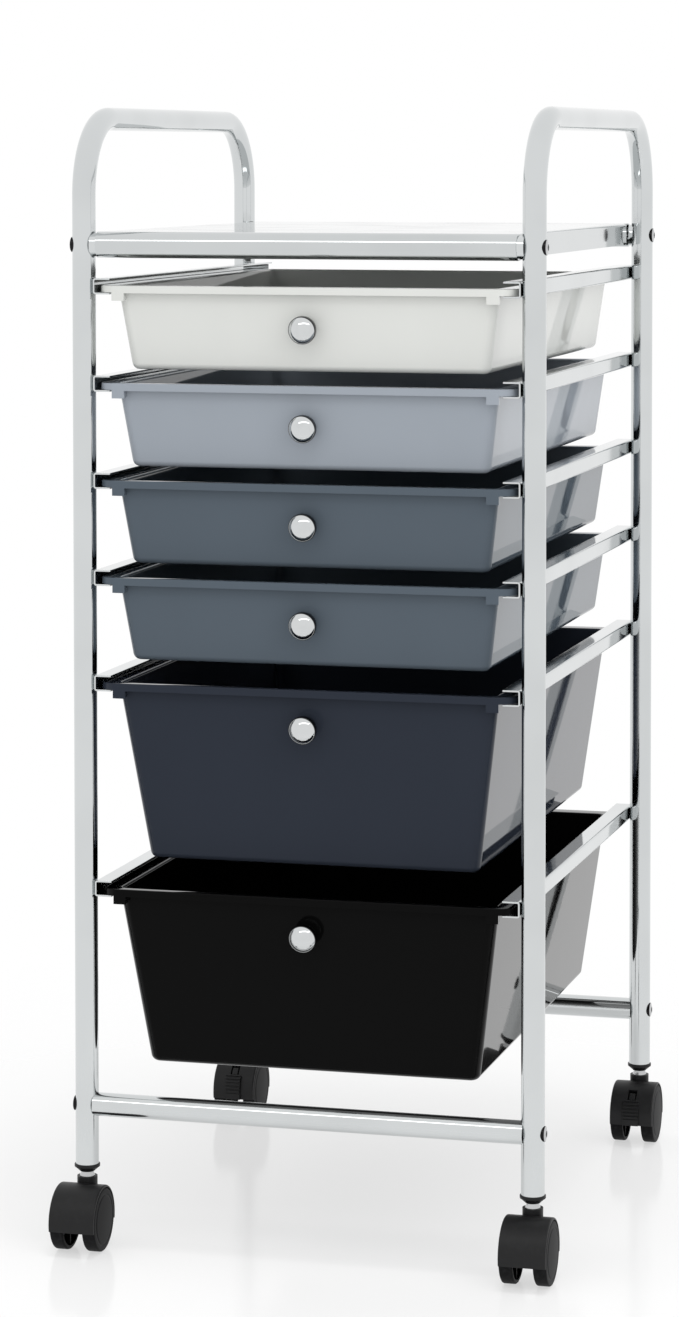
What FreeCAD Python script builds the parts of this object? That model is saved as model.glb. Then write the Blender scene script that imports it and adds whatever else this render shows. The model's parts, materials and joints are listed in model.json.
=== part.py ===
import FreeCAD
import Part
import math
import os

from FreeCAD import Vector

# Rolling cart: two arched side tubes, a sheet tray, six drawers in channel rails, four casters.
# Millimetres. +Z is up, the drawers open towards -Y, left is -X, and the floor is at z = 0.

# Frame tubes
tube_d = 16.0
tube_wall = 1.0
post_spacing_x = 314.0  # between the post axes, side to side
post_spacing_y = 378.0  # between the post axes, front to rear
arch_bend_r = 52.0  # at the axis of the tube
arch_rise = 85.7  # axis of the arch above the axes of the tray tubes
crossbar_rise = 41.3  # crossbar axes above the lower ends of the posts
seat_depth = 2.0  # ends of the cross tubes past the inner sides of the posts
cope_gap = 0.05  # seats of the tube ends to the posts
weld_gap = 0.05  # rails to the posts

# Frame screws and the inserts that they turn into
screw_d = 6.0
screw_head_d = 10.5
screw_head_h = 1.5  # proud of the post
screw_head_edge = 0.45  # height of the head's rim
screw_thread = 13.0  # into the insert
screw_hole_play = 0.4
thread_play = 0.1
insert_length = 16.0
insert_recess = 0.6  # behind the middle of the tube end's seat
insert_play = 0.1

# Free heights between the levels
bottom_gap = 20.4  # from the crossbars up to the lowest drawer
deep_head_gap = 18.4  # above the lower deep drawer
mixed_head_gap = 14.8  # above the upper deep drawer
shallow_head_gap = 8.9  # above each shallow drawer but the top one
tray_head_gap = 20.4  # above the top drawer

# Sheet tray
sheet = 0.9
tray_side_gap = 1.8  # tray to the posts
tray_flange = 16.0  # height of the sides that are folded down
tray_bend_r = 2.5
roll_wrap = 215.0  # degrees of the rolled edges
roll_play = 0.05  # rolled edges to their tubes
roll_relief = 4.0  # from the tray tubes to the ends of the folded sides
roll_end_cut = 1.0  # slant of the rolled edges' ends

# Channel rails
rail_width = 12.0
rail_height = 11.0
rail_sheet = 1.2
rail_bend_r = 1.8
rail_front_inset = 2.3  # front ends of the rails behind the faces of the posts
rail_rear_inset = 0.5
stop_inset = 8.0  # drawer stop ahead of the rail's rear end
stop_play = 0.3

# Drawers
shallow_depth = 57.4
deep_depth = 122.9
side_draft = 8.0  # degrees
front_draft = 8.0
rear_draft = 3.0
tub_wall = 2.0
tub_corner_r = 7.0
tub_bottom_r = 4.5
tub_side_gap = 3.7  # tub to the tips of the rails
tub_front_inset = 4.5  # tub behind the face of the rim
tub_rear_inset = 11.0
rim_height = 4.7
rim_plate = 2.0
rim_lip = 1.8
rim_corner_r = 14.0
rim_edge_r = 0.9
rim_side_play = 1.6  # rim to the webs of the rails
rim_slide_gap = 0.3  # rim to the lower flanges of the rails
rim_stop_gap = 0.5
rim_front_height = 5.2
lug_width = 8.7
lug_height = 10.4  # from the top of the rim
lug_depth = 8.0
lug_gap = 2.1  # lugs and front rim to the tips of the rails

# Knobs and their screws
knob_d = 19.0
knob_length = 16.0
knob_neck_d = 8.5
knob_foot_d = 11.0
knob_foot_h = 1.2
knob_disc = 8.6
knob_crown = 5.4
knob_edge_r = 1.5
shallow_knob_drop = 27.4  # knob axis below the top of the rim
deep_knob_drop = 25.6
knob_screw_d = 4.0
knob_screw_head_d = 8.0
knob_screw_head_h = 2.4
knob_screw_reach = 7.0  # into the knob
knob_screw_play = 0.1
knob_bore_spare = 1.0  # beyond the screw's tip

# Casters
wheel_d = 43.0
wheel_width = 9.2
wheel_spacing = 14.0  # between the two wheels
wheel_rim = 2.6
wheel_disc = 2.6
wheel_hub_d = 12.0
wheel_crown = 0.8
wheel_edge_r = 1.2
wheel_ribs = 6
wheel_rib = 1.6
axle_d = 6.0
axle_end_gap = 0.3
axle_chamfer = 0.6
running_gap = 0.05  # radial, at wheels, stems and brake pins
caster_trail = 12.0  # axle ahead of the stem
hood_gap = 0.5  # wheels to the hood
hood_wall = 1.5
hood_edge_r = 1.2
hood_skirt = 4.5  # lower edge of the hood below the axle
web_gap = 0.6  # wheels to the web between them
axle_boss_d = 12.0
neck_d = 14.0
neck_height = 3.2  # above the crown of the hood
stem_d = 8.0
stem_reach = 24.0  # down into the hood
stem_chamfer = 1.0
collar_d = 10.4
collar_height = 3.2
thrust_gap = 0.1  # collar to the neck
socket_lip = 0.8  # beyond the tube
socket_lip_h = 2.3
socket_cone_h = 3.1
socket_tip_wall = 0.9
socket_reach = 22.0  # up into the post
socket_roof = 2.5
socket_play = 0.1

# Brake flaps of the rear casters, in degrees above the axle and radii about it
flap_width = 12.0
flap_thick = 1.7
flap_gap = 0.3  # flap to the hood
flap_low = -10.0
flap_high = 34.0
flap_ribs = 6
flap_rib_r = 0.7
flap_rib_low = 8.0
blade_width = 6.0
blade_play = 0.3
brake_pin_d = 3.2
brake_pin_length = 11.0
brake_boss_d = 6.4
brake_pivot_r = 17.0
brake_pivot_angle = 45.0
thumb_low = 36.5
thumb_high = 51.0
thumb_inset = 0.6  # thumb block behind the face of the hood
slot_depth_r = 11.0
slot_high = 58.0

# Worked out from the sizes above
tube_r = tube_d / 2
post_x = post_spacing_x / 2
post_inner_x = post_x - tube_r
front_y = caster_trail - post_spacing_y / 2  # origin under the middle of the whole cart
rear_y = caster_trail + post_spacing_y / 2

wheel_r = wheel_d / 2
hood_in_r = wheel_r + hood_gap
hood_r = hood_in_r + hood_wall
hood_half = wheel_spacing / 2 + wheel_width
web_half = wheel_spacing / 2 - web_gap
neck_top = wheel_r + hood_r + neck_height
collar_base = neck_top + thrust_gap
socket_base = collar_base + collar_height
post_foot = socket_base + socket_cone_h + socket_lip_h

web_x = post_inner_x - weld_gap  # outer faces of the rails
rail_tip_x = web_x - rail_width
rail_front = front_y - tube_r + rail_front_inset
rail_rear = rear_y + tube_r - rail_rear_inset
stop_y = rail_rear - stop_inset  # face that stops the drawer
rail_floor = rail_sheet - rail_height / 2  # from the rail's mid height

rim_half = web_x - rail_sheet - rim_side_play
rim_front = front_y - tube_r
rim_rear = stop_y - rim_stop_gap
rim_top = rail_floor + rim_slide_gap + rim_height  # from the rail's mid height
tub_half = rail_tip_x - tub_side_gap
tub_front = rim_front + tub_front_inset
tub_rear = rim_rear - tub_rear_inset

crossbar_z = post_foot + crossbar_rise
drawer_depths = [shallow_depth] * 4 + [deep_depth] * 2  # from the top
knob_drops = [shallow_knob_drop] * 4 + [deep_knob_drop] * 2
head_gaps = [tray_head_gap] + [shallow_head_gap] * 3 + [mixed_head_gap, deep_head_gap]
rim_levels = []
level = crossbar_z + tube_r + bottom_gap
for drawer_depth, head_gap in zip(reversed(drawer_depths), reversed(head_gaps)):
    rim_levels.insert(0, level + drawer_depth)
    level = level + drawer_depth + head_gap
tray_top = level + tray_flange
tray_z = tray_top - sheet - roll_play - tube_r
arch_z = tray_z + arch_rise


def outline(start, *moves):
    """Face in the XZ plane: a move is a point, or a middle and an end point of an arc."""
    first = Vector(start[0], 0, start[1])
    here = first
    edges = []
    for move in moves:
        if isinstance(move[0], tuple):
            middle, end = [Vector(x, 0, z) for x, z in move]
            edges.append(Part.Arc(here, middle, end).toShape())
        else:
            end = Vector(move[0], 0, move[1])
            edges.append(Part.LineSegment(here, end).toShape())
        here = end
    if here.distanceToPoint(first) > 1e-6:
        edges.append(Part.LineSegment(here, first).toShape())
    return Part.Face(Part.Wire(edges))


def polar(radius, degrees):
    angle = math.radians(degrees)
    return (radius * math.cos(angle), radius * math.sin(angle))


def bend(centre, radius, start, end):
    """Arc move about a centre between two angles in degrees."""
    points = [polar(radius, angle) for angle in ((start + end) / 2, end)]
    return tuple((centre[0] + x, centre[1] + z) for x, z in points)


def crown_move(radius, base, height):
    """Arc move from a rim at the base up to the axis, for a shallow dome."""
    ball = (radius**2 + height**2) / (2 * height)
    middle = math.sqrt(ball**2 - radius**2 / 4) - ball + height
    return ((radius / 2, base + middle), (0, base + height))


def turned(face):
    """Solid of revolution about Z of a face whose X is the radius."""
    return face.revolve(Vector(), Vector(0, 0, 1), 360)


def rod(radius, start, end):
    """Cylinder between two points."""
    return Part.makeCylinder(radius, start.distanceToPoint(end), start, end - start)


def facing_x(shape, side):
    """Copy of a shape with its +Z turned to +X or -X."""
    copy = shape.copy()
    copy.rotate(Vector(), Vector(0, 1, 0), 90 * side)
    return copy


def moved(shape, x, y, z):
    copy = shape.copy()
    copy.translate(Vector(x, y, z))
    return copy


def side_tube(side):
    """One tube bent to an upside-down U: front post, arch and rear post."""
    x = side * post_x
    bend_z = arch_z - arch_bend_r
    front_in = front_y + arch_bend_r
    rear_in = rear_y - arch_bend_r
    lean = arch_bend_r * math.sqrt(0.5)
    foot, shoulder = Vector(x, front_y, post_foot), Vector(x, front_y, bend_z)
    front_knee = Vector(x, front_in - lean, bend_z + lean)
    arch_start, arch_end = Vector(x, front_in, arch_z), Vector(x, rear_in, arch_z)
    rear_knee = Vector(x, rear_in + lean, bend_z + lean)
    rear_shoulder, rear_foot = Vector(x, rear_y, bend_z), Vector(x, rear_y, post_foot)
    path = Part.Wire([
        Part.LineSegment(foot, shoulder).toShape(),
        Part.Arc(shoulder, front_knee, arch_start).toShape(),
        Part.LineSegment(arch_start, arch_end).toShape(),
        Part.Arc(arch_end, rear_knee, rear_shoulder).toShape(),
        Part.LineSegment(rear_shoulder, rear_foot).toShape(),
    ])
    solids = []
    for radius in (tube_r, tube_r - tube_wall):
        ring = Part.Wire(Part.makeCircle(radius, foot, Vector(0, 0, 1)))
        solids.append(path.makePipeShell([ring], True, False))
    tube = solids[0].cut(solids[1])
    hole_r = (screw_d + screw_hole_play) / 2
    for y, z in screw_places():
        hole = rod(hole_r, Vector(x - tube_d, y, z), Vector(x + tube_d, y, z))
        tube = tube.cut(hole)
    return tube


def screw_places():
    """Heights and depths of the screws on one side."""
    return [(y, z) for y in (front_y, rear_y) for z in (tray_z, crossbar_z)]


def cross_tube(y, z):
    """Tube from post to post, its straight ends hollowed where they seat on the posts."""
    half = post_inner_x + seat_depth
    start, end = Vector(-half, y, z), Vector(half, y, z)
    tube = rod(tube_r, start, end).cut(rod(tube_r - tube_wall, start, end))
    for side in (-1, 1):
        foot = Vector(side * post_x, y, z - tube_d)
        tube = tube.cut(rod(tube_r + cope_gap, foot, foot + Vector(0, 0, 2 * tube_d)))
    return tube


def thread_insert():
    """Threaded plug along Z, from its mouth downwards."""
    outer_r = tube_r - tube_wall - insert_play / 2
    bore_r = (screw_d + thread_play) / 2
    return turned(outline((bore_r, 0), (outer_r, 0), (outer_r, -insert_length), (bore_r, -insert_length)))


def frame_screw():
    """Dome-head screw along Z, its head saddled to the post at z = 0."""
    head_r = screw_head_d / 2
    skirt = tube_r - math.sqrt(tube_r**2 - head_r**2) + screw_head_edge
    head = turned(outline(
        (0, -skirt), (head_r, -skirt), (head_r, screw_head_edge),
        crown_move(head_r, screw_head_edge, screw_head_h - screw_head_edge)))
    head = head.cut(rod(tube_r + cope_gap, Vector(-tube_d, 0, -tube_r), Vector(tube_d, 0, -tube_r)))
    shank_end = -(tube_d + insert_recess + screw_thread)
    shank = rod(screw_d / 2, Vector(0, 0, shank_end), Vector(0, 0, screw_head_edge))
    return head.fuse(shank).removeSplitter()


def along_screws(shape, x):
    """Eight copies, one at each screw, turned outwards at a distance from the middle."""
    copies = []
    for side in (-1, 1):
        for y, z in screw_places():
            copies.append(moved(facing_x(shape, side), side * x, y, z))
    return Part.makeCompound(copies)


def rail(side, z):
    """C-channel open towards the drawer, with a stop folded in near its rear end."""
    half = rail_height / 2
    inner_r = rail_bend_r - rail_sheet
    tip, floor, back = -rail_width, half - rail_sheet, -rail_sheet
    knee = (-rail_bend_r, half - rail_bend_r)
    low_knee = (knee[0], -knee[1])
    profile = outline(
        (tip, half), (knee[0], half), bend(knee, rail_bend_r, 90, 0),
        (0, low_knee[1]), bend(low_knee, rail_bend_r, 0, -90), (tip, -half),
        (tip, -floor), (low_knee[0], -floor), bend(low_knee, inner_r, -90, 0),
        (back, knee[1]), bend(knee, inner_r, 0, 90), (tip, floor))
    channel = profile.extrude(Vector(0, rail_rear - rail_front, 0))
    stop_half = floor - stop_play
    stop = Part.makeBox(rail_width - rail_sheet, rail_sheet, 2 * stop_half)
    stop.translate(Vector(tip + rail_sheet / 2, stop_y - rail_front, -stop_half))
    channel = moved(channel.fuse(stop).removeSplitter(), web_x, rail_front, z)
    return channel if side > 0 else channel.mirror(Vector(), Vector(1, 0, 0))


def rolled_edge(y, end):
    """Tray edge rolled over its tube, with slanting ends; end is 1 at the rear, -1 at the front."""
    inner_r = tube_r + roll_play
    outer_r = inner_r + sheet
    reach = tube_r + roll_relief
    tip = 90 - roll_wrap
    section = outline(
        (-reach, outer_r), (0, outer_r), bend((0, 0), outer_r, 90, tip),
        polar(inner_r, tip), bend((0, 0), inner_r, tip, 90), (-reach, inner_r))
    section.rotate(Vector(), Vector(0, 0, 1), 90 * end)
    half = post_inner_x - tray_side_gap
    roll = moved(section.extrude(Vector(2 * half, 0, 0)), -half, 0, 0)
    for side in (-1, 1):
        corner = Vector(side * half, -end * roll_relief, -2 * outer_r)
        slant = Vector(-2 * side * roll_end_cut, 2 * end * (outer_r + roll_relief), 0)
        across = Vector(-2 * slant.x, 0, 0)
        wedge = Part.makePolygon([corner, corner + slant, corner + slant + across, corner])
        roll = roll.cut(Part.Face(wedge).extrude(Vector(0, 0, 4 * outer_r)))
    return moved(roll, 0, y, tray_z)


def top_tray():
    """Flat sheet with its sides folded down and its front and rear edges rolled."""
    half = post_inner_x - tray_side_gap
    inner_r = tray_bend_r - sheet
    foot = tray_top - tray_flange
    left = (tray_bend_r - half, tray_top - tray_bend_r)
    right = (half - tray_bend_r, tray_top - tray_bend_r)
    section = outline(
        (-half, foot), (-half, left[1]), bend(left, tray_bend_r, 180, 90),
        (right[0], tray_top), bend(right, tray_bend_r, 90, 0), (half, foot),
        (half - sheet, foot), (half - sheet, right[1]), bend(right, inner_r, 0, 90),
        (left[0], tray_top - sheet), bend(left, inner_r, 90, 180), (sheet - half, foot))
    start = front_y + tube_r + roll_relief
    deck = moved(section.extrude(Vector(0, rear_y - tube_r - roll_relief - start, 0)), 0, start, 0)
    edges = [rolled_edge(front_y, -1), rolled_edge(rear_y, 1)]
    return deck.fuse(edges).removeSplitter()


def plan(half_x, y_front, y_rear, radius, z):
    """Rounded rectangle as a closed wire at height z."""
    corners = [
        (half_x - radius, y_rear - radius, 0), (radius - half_x, y_rear - radius, 90),
        (radius - half_x, y_front + radius, 180), (half_x - radius, y_front + radius, 270)]
    edges = []
    last = None
    for x, y, start in corners:
        points = []
        for angle in (start, start + 45, start + 90):
            dx, dy = polar(radius, angle)
            points.append(Vector(x + dx, y + dy, z))
        if last:
            edges.append(Part.LineSegment(last, points[0]).toShape())
        edges.append(Part.Arc(*points).toShape())
        last = points[2]
    edges.append(Part.LineSegment(last, edges[0].Vertexes[0].Point).toShape())
    return Part.Wire(edges)


def tub_plan(depth, inset):
    """Plan of the drafted tub at a depth below the rim, moved in from its outside."""
    return plan(
        tub_half - depth * math.tan(math.radians(side_draft)) - inset,
        tub_front + depth * math.tan(math.radians(front_draft)) + inset,
        tub_rear - depth * math.tan(math.radians(rear_draft)) - inset,
        tub_corner_r - inset, -depth)


def tub_block(depth, inset, bottom_r):
    """Tapered block with a rounded bottom edge, from the rim down."""
    block = Part.makeLoft([tub_plan(depth, inset), tub_plan(0, inset)], True, True)
    bottom = [edge for edge in block.Edges if edge.BoundBox.ZMax < -depth + 1e-4]
    return block.makeFillet(bottom_r, bottom)


def ring_block(inset, top, bottom):
    """Block of the rim's plan, moved in from its outside."""
    wire = plan(rim_half - inset, rim_front + inset, rim_rear - inset, rim_corner_r - inset, bottom)
    return Part.Face(wire).extrude(Vector(0, 0, top - bottom))


def drawer_rim():
    """Turned-down rim with a deeper front band and a lug at each front corner."""
    rim = ring_block(0, 0, -rim_height)
    rim = rim.makeFillet(rim_edge_r, [edge for edge in rim.Edges if edge.BoundBox.ZMin > -1e-4])
    rim = rim.cut(ring_block(rim_lip, -rim_plate, -rim_height))
    half = rail_tip_x - lug_gap
    front = Part.makeBox(2 * half, rim_lip, rim_front_height - rim_edge_r,
                         Vector(-half, rim_front, -rim_front_height))
    for x in (-half, half - lug_width):
        front = front.fuse(Part.makeBox(lug_width, lug_depth, lug_height - rim_plate,
                                        Vector(x, rim_front, -lug_height)))
    return rim.fuse(front.common(ring_block(0, 0, -lug_height)))


def on_front(shape, drop):
    """Copy of a turned shape set square on the sloping front, its z = 0 at the face."""
    copy = shape.copy()
    copy.rotate(Vector(), Vector(1, 0, 0), 90 + front_draft)
    y = tub_front + drop * math.tan(math.radians(front_draft))
    copy.translate(Vector(0, y, -drop))
    return copy


def drawer(depth, knob_drop):
    """Moulded tub with its top of the rim at z = 0."""
    tub = tub_block(depth, 0, tub_bottom_r).fuse(drawer_rim())
    floor_depth = depth - tub_wall
    tub = tub.cut(tub_block(floor_depth, tub_wall, tub_bottom_r - tub_wall))
    hole_r = (knob_screw_d + screw_hole_play) / 2
    hole = rod(hole_r, Vector(0, 0, -2 * tub_wall), Vector(0, 0, 2 * tub_wall))
    return tub.cut(on_front(hole, knob_drop)).removeSplitter()


def knob():
    """Round knob along Z, its foot on the drawer's face at z = 0."""
    knob_r, neck_r, foot_r = knob_d / 2, knob_neck_d / 2, knob_foot_d / 2
    bore_r = (knob_screw_d + knob_screw_play) / 2
    bore_end = knob_screw_reach + knob_bore_spare
    disc_z = knob_length - knob_disc
    rim_z = knob_length - knob_crown
    waist = (neck_r + (disc_z - knob_foot_h) / 2, (disc_z + knob_foot_h) / 2)
    waist_r = waist[0] - neck_r
    back = (knob_r - knob_edge_r, disc_z + knob_edge_r)
    front = (knob_r - knob_edge_r, rim_z - knob_edge_r)
    return turned(outline(
        (bore_r, 0), (foot_r, 0), (foot_r, knob_foot_h), (waist[0], knob_foot_h),
        bend(waist, waist_r, 270, 90), (back[0], disc_z), bend(back, knob_edge_r, 270, 360),
        (knob_r, front[1]), bend(front, knob_edge_r, 0, 90), crown_move(front[0], rim_z, knob_crown),
        (0, bore_end), (bore_r, bore_end)))


def knob_screw():
    """Pan-head screw along Z, its head against the inside of the drawer's front."""
    inside = -tub_wall * math.cos(math.radians(front_draft))
    head_r, shank_r = knob_screw_head_d / 2, knob_screw_d / 2
    low = inside - knob_screw_head_h
    edge = knob_screw_head_h / 2
    return turned(outline(
        (0, low), (head_r - edge, low), bend((head_r - edge, low + edge), edge, 270, 360),
        (head_r, inside), (shank_r, inside), (shank_r, knob_screw_reach), (0, knob_screw_reach)))


def stem_socket():
    """Plug for the foot of a post along Z, its lip against the tube's end at z = 0."""
    lip_r = tube_r + socket_lip
    plug_r = tube_r - tube_wall - socket_play / 2
    bore_r = stem_d / 2 + running_gap
    tip_r = bore_r + socket_tip_wall
    base = -(socket_cone_h + socket_lip_h)
    edge_r = socket_lip_h / 2
    edge = (lip_r - edge_r, -edge_r)
    roof = socket_reach - socket_roof
    return turned(outline(
        (bore_r, base), (tip_r, base), (edge[0], -socket_lip_h), bend(edge, edge_r, 270, 450),
        (plug_r, 0), (plug_r, socket_reach), (0, socket_reach), (0, roof), (bore_r, roof)))


def caster_stem():
    """Steel stem along Z, the underside of its collar at z = 0."""
    stem_r, collar_r = stem_d / 2, collar_d / 2
    tip_r = stem_r - stem_chamfer
    top = post_foot - collar_base + socket_reach - socket_roof - thrust_gap
    low = -(stem_reach + thrust_gap)
    return turned(outline(
        (0, low), (tip_r, low), (stem_r, low + stem_chamfer), (stem_r, 0), (collar_r, 0),
        (stem_r, collar_height), (stem_r, top - stem_chamfer), (tip_r, top), (0, top)))


def forward(section, width):
    """Solid across X of a section whose X points to the front, over the axle."""
    section.rotate(Vector(), Vector(0, 0, 1), -90)
    return moved(section.extrude(Vector(width, 0, 0)), -width / 2, 0, 0)


def sector(inner_r, outer_r, low, high, width):
    """Ring sector about the axle, on its front side."""
    return forward(outline(
        polar(inner_r, low), polar(outer_r, low), bend((0, 0), outer_r, low, high),
        polar(inner_r, high), bend((0, 0), inner_r, high, low)), width)


def brake_pivot():
    """Place of the brake pin from the axle, as y and z."""
    ahead, up = polar(brake_pivot_r, brake_pivot_angle)
    return (-ahead, up)


def brake_pin(radius, length):
    y, z = brake_pivot()
    return rod(radius, Vector(-length / 2, y, z), Vector(length / 2, y, z))


def hood(braked):
    """Hood over both wheels, with the web between them and the neck for the stem."""
    edge = hood_half - hood_edge_r
    edge_in = hood_r - hood_edge_r
    shell = turned(outline(
        (hood_in_r, -hood_half), (edge_in, -hood_half), bend((edge_in, -edge), hood_edge_r, 270, 360),
        (hood_r, edge), bend((edge_in, edge), hood_edge_r, 0, 90), (hood_in_r, hood_half)))
    shell = facing_x(shell, 1)
    neck_z = neck_top - wheel_r
    neck = rod(neck_d / 2, Vector(0, caster_trail, 0), Vector(0, caster_trail, neck_z))
    pocket = rod(hood_in_r, Vector(-hood_half, 0, 0), Vector(hood_half, 0, 0))
    web = rod(hood_in_r + hood_wall / 2, Vector(-web_half, 0, 0), Vector(web_half, 0, 0))
    solid = shell.fuse(neck.cut(pocket)).fuse(web)
    below = Part.makeBox(3 * hood_half, 3 * hood_r, hood_r)
    solid = solid.cut(moved(below, -1.5 * hood_half, -1.5 * hood_r, -hood_skirt - hood_r))
    solid = solid.fuse(rod(axle_boss_d / 2, Vector(-web_half, 0, 0), Vector(web_half, 0, 0)))
    stem_bore = Vector(0, caster_trail, neck_z - stem_reach - 2 * thrust_gap)
    solid = solid.cut(rod(stem_d / 2 + running_gap, stem_bore, Vector(0, caster_trail, neck_z)))
    solid = solid.cut(rod(axle_d / 2 + running_gap, Vector(-hood_half, 0, 0), Vector(hood_half, 0, 0)))
    if braked:
        slot_low = -math.degrees(math.asin(hood_skirt / slot_depth_r))
        slot = sector(slot_depth_r, hood_r + hood_wall, slot_low, slot_high, blade_width + 2 * blade_play)
        solid = solid.cut(slot).cut(brake_pin(brake_pin_d / 2 + running_gap, 2 * web_half))
    return solid.removeSplitter()


def brake_flap():
    """Ribbed flap outside the hood on a blade that swings on its own pin."""
    inner_r = hood_r + flap_gap
    outer_r = inner_r + flap_thick
    flap = sector(inner_r, outer_r, flap_low, flap_high, flap_width)
    step = (flap_high - flap_rib_low) / flap_ribs
    for index in range(flap_ribs):
        ahead, up = polar(outer_r, flap_rib_low + step * (index + 0.5))
        start = Vector(-flap_width / 2, -ahead, up)
        flap = flap.fuse(rod(flap_rib_r, start, start + Vector(flap_width, 0, 0)))
    pivot = polar(brake_pivot_r, brake_pivot_angle)
    blade = forward(outline(pivot, polar(outer_r, flap_rib_low), polar(outer_r, flap_high)), blade_width)
    blade = blade.common(rod(inner_r + flap_thick / 2, Vector(-hood_half, 0, 0), Vector(hood_half, 0, 0)))
    thumb = sector(brake_pivot_r, hood_r - thumb_inset, thumb_low, thumb_high, blade_width)
    boss = brake_pin(brake_boss_d / 2, blade_width)
    pin = brake_pin(brake_pin_d / 2, brake_pin_length)
    return flap.fuse([blade, thumb, boss, pin]).removeSplitter()


def wheel():
    """Wheel along Z from its inner face, hollow inside with ribs, closed and crowned outside."""
    hub_r, bore_r = wheel_hub_d / 2, axle_d / 2 + running_gap
    rim_in = wheel_r - wheel_rim
    hollow = wheel_width - wheel_disc
    bore_end = wheel_width - wheel_disc + axle_end_gap
    edge_in = wheel_r - wheel_edge_r
    low, high = (edge_in, wheel_edge_r), (edge_in, wheel_width - wheel_edge_r)
    body = turned(outline(
        (bore_r, 0), (hub_r, 0), (hub_r, hollow), (rim_in, hollow), (rim_in, 0), (edge_in, 0),
        bend(low, wheel_edge_r, 270, 360), (wheel_r, high[1]), bend(high, wheel_edge_r, 0, 90),
        crown_move(edge_in, wheel_width, wheel_crown), (0, bore_end), (bore_r, bore_end)))
    overlap = wheel_rim / 2
    rib = Part.makeBox(rim_in - hub_r + 2 * overlap, wheel_rib, hollow - wheel_edge_r + overlap)
    rib.translate(Vector(hub_r - overlap, -wheel_rib / 2, wheel_edge_r))
    ribs = []
    for index in range(wheel_ribs):
        copy = rib.copy()
        copy.rotate(Vector(), Vector(0, 0, 1), 360 / wheel_ribs * index)
        ribs.append(copy)
    return body.fuse(ribs).removeSplitter()


def axle():
    """Pin through the web into both wheels, along X."""
    half = wheel_spacing / 2 + wheel_width - wheel_disc
    tip_r = axle_d / 2 - axle_chamfer
    pin = turned(outline(
        (0, -half), (tip_r, -half), (axle_d / 2, axle_chamfer - half),
        (axle_d / 2, half - axle_chamfer), (tip_r, half), (0, half)))
    return facing_x(pin, 1)


def at_posts(shape, z):
    """Four copies on the post axes."""
    places = [(x, y) for y in (front_y, rear_y) for x in (-post_x, post_x)]
    return Part.makeCompound([moved(shape, x, y, z) for x, y in places])


def frame_nodes():
    nodes = {
        "left_side_tube": side_tube(-1),
        "right_side_tube": side_tube(1),
        "tray_front_tube": cross_tube(front_y, tray_z),
        "tray_rear_tube": cross_tube(rear_y, tray_z),
        "front_crossbar": cross_tube(front_y, crossbar_z),
        "rear_crossbar": cross_tube(rear_y, crossbar_z),
        "top_tray": top_tray(),
        "thread_inserts": along_screws(thread_insert(), post_inner_x - insert_recess),
        "frame_screws": along_screws(frame_screw(), post_x + tube_r),
        "stem_sockets": at_posts(stem_socket(), post_foot),
        "caster_stems": at_posts(caster_stem(), collar_base),
    }
    for number, rim_level in enumerate(rim_levels, 1):
        nodes[f"left_rail_{number}"] = rail(-1, rim_level - rim_top)
        nodes[f"right_rail_{number}"] = rail(1, rim_level - rim_top)
    return nodes


def drawer_nodes():
    nodes = {}
    pulls = {"knob": knob(), "knob_screw": knob_screw()}
    for number, rim_level in enumerate(rim_levels, 1):
        depth, drop = drawer_depths[number - 1], knob_drops[number - 1]
        nodes[f"drawer_{number}"] = moved(drawer(depth, drop), 0, 0, rim_level)
        for name, shape in pulls.items():
            nodes[f"{name}_{number}"] = moved(on_front(shape, drop), 0, 0, rim_level)
    return nodes


def caster_nodes():
    nodes = {}
    for end, y in (("front", front_y), ("rear", rear_y)):
        for hand, side in (("left", -1), ("right", 1)):
            pieces = {"hood": hood(end == "rear"), "axle": axle()}
            pieces["outer_wheel"] = moved(facing_x(wheel(), side), side * wheel_spacing / 2, 0, 0)
            pieces["inner_wheel"] = moved(facing_x(wheel(), -side), -side * wheel_spacing / 2, 0, 0)
            if end == "rear":
                pieces["brake"] = brake_flap()
            for name, shape in pieces.items():
                nodes[f"{end}_{hand}_{name}"] = moved(shape, side * post_x, y - caster_trail, wheel_r)
    return nodes


def main():
    os.makedirs("parts", exist_ok=True)
    for nodes in (frame_nodes(), drawer_nodes(), caster_nodes()):
        for name, shape in nodes.items():
            shape.exportStep(f"parts/{name}.step")


main()
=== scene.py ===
"""Looks of a rolling drawer cart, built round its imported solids."""

import json
import math

import bmesh
import bpy
from mathutils import Matrix, Vector

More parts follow.
